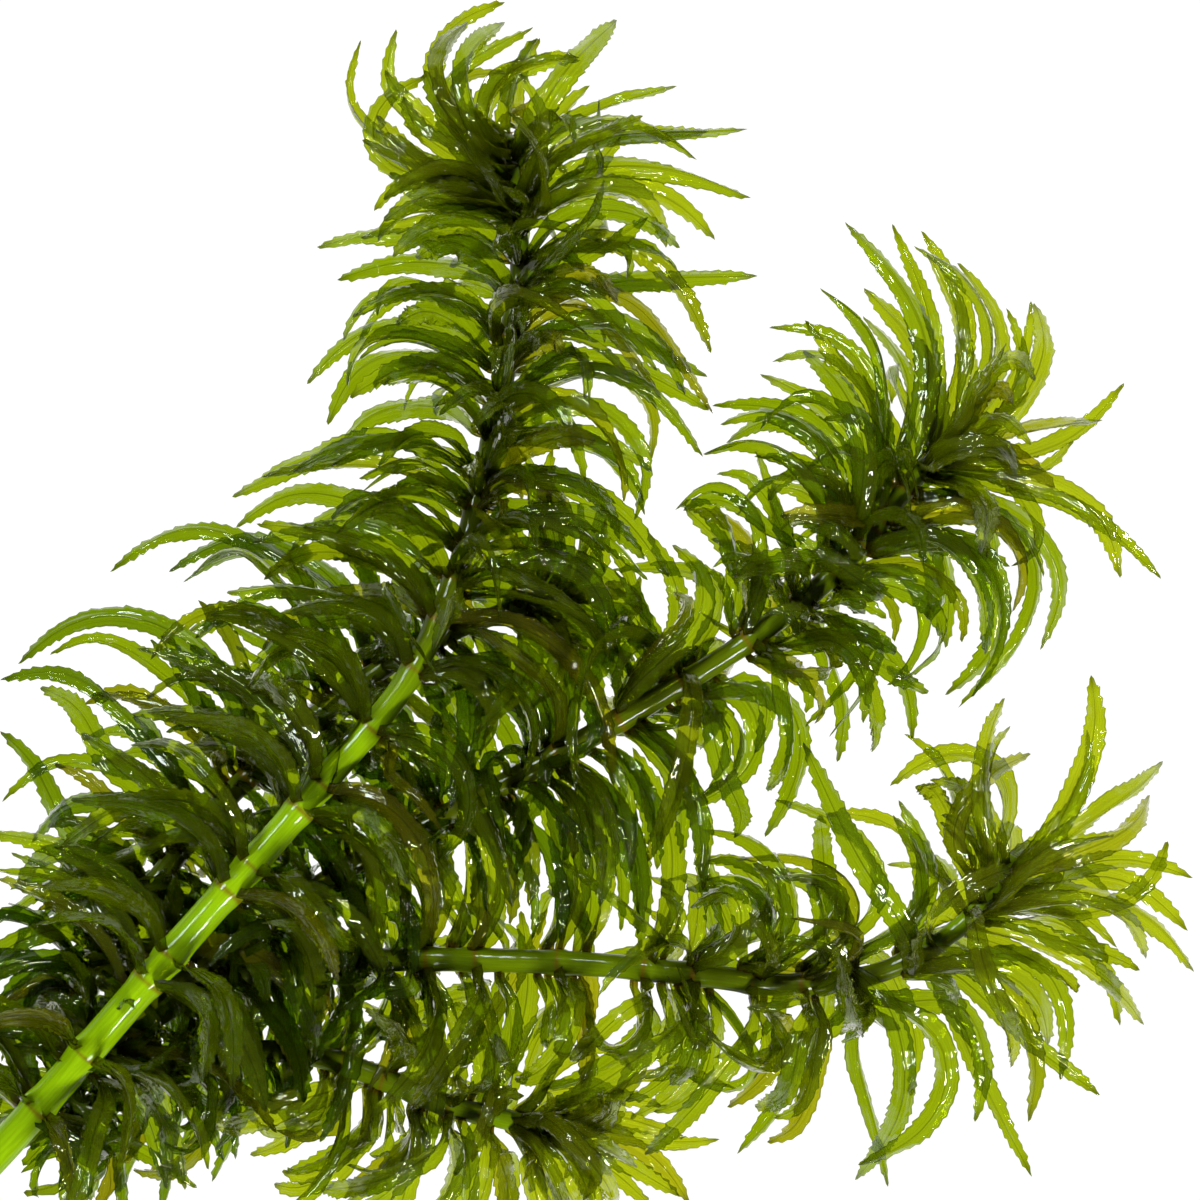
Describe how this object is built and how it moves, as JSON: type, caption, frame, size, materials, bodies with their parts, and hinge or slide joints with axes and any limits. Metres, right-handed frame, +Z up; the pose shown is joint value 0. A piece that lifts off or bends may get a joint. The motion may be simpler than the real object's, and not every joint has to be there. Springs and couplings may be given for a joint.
{
  "type": "egeria najas waterweed plant",
  "caption": "Branched aquatic plant lying on a surface, with long round shoots and whorls of narrow, finely toothed leaves that arch back and crowd at the growing tips.",
  "frame": {"origin": "on the surface the plant lies on, under the middle of its box", "axes": "+Z up from the surface; seen from above, the cut foot is towards -X and -Y, the main shoot grows towards +Y, a side shoot towards +X"},
  "size_m": [0.1222, 0.1162, 0.0422],
  "materials": {
    "leaf": "wet, thin, lets light through",
    "young_leaf": "wet, thin, lets light through",
    "stem": "wet and smooth"
  },
  "bodies": {
    "root": {"stem_a": "stem", "whorl_a_01": "leaf", "whorl_a_02": "leaf", "whorl_a_03": "leaf", "whorl_a_04": "leaf", "whorl_a_05": "leaf", "whorl_a_06": "leaf", "whorl_a_07": "leaf", "whorl_a_08": "leaf", "whorl_a_09": "leaf", "whorl_a_10": "leaf", "whorl_a_11": "leaf", "whorl_a_12": "leaf", "whorl_a_13": "leaf", "whorl_a_14": "leaf", "whorl_a_15": "leaf", "whorl_a_16": "leaf", "whorl_a_17": "leaf", "whorl_a_18": "leaf", "tip_a": "young_leaf", "stem_b": "stem", "whorl_b_01": "leaf", "whorl_b_02": "leaf", "whorl_b_03": "leaf", "whorl_b_04": "leaf", "whorl_b_05": "leaf", "whorl_b_06": "leaf", "whorl_b_07": "leaf", "whorl_b_08": "leaf", "whorl_b_09": "leaf", "tip_b": "young_leaf", "stem_c": "stem", "whorl_c_01": "leaf", "whorl_c_02": "leaf", "whorl_c_03": "leaf", "whorl_c_04": "leaf", "whorl_c_05": "leaf", "whorl_c_06": "leaf", "whorl_c_07": "leaf", "whorl_c_08": "leaf", "whorl_c_09": "leaf", "tip_c": "young_leaf", "stem_d": "stem", "whorl_d_01": "leaf", "whorl_d_02": "leaf", "whorl_d_03": "leaf", "whorl_d_04": "leaf", "whorl_d_05": "leaf", "tip_d": "young_leaf", "stem_e": "stem", "whorl_e_01": "leaf", "whorl_e_02": "leaf", "whorl_e_03": "leaf", "whorl_e_04": "leaf", "whorl_e_05": "leaf", "whorl_e_06": "leaf", "whorl_e_07": "leaf", "tip_e": "young_leaf"}
  },
  "joints": []
}
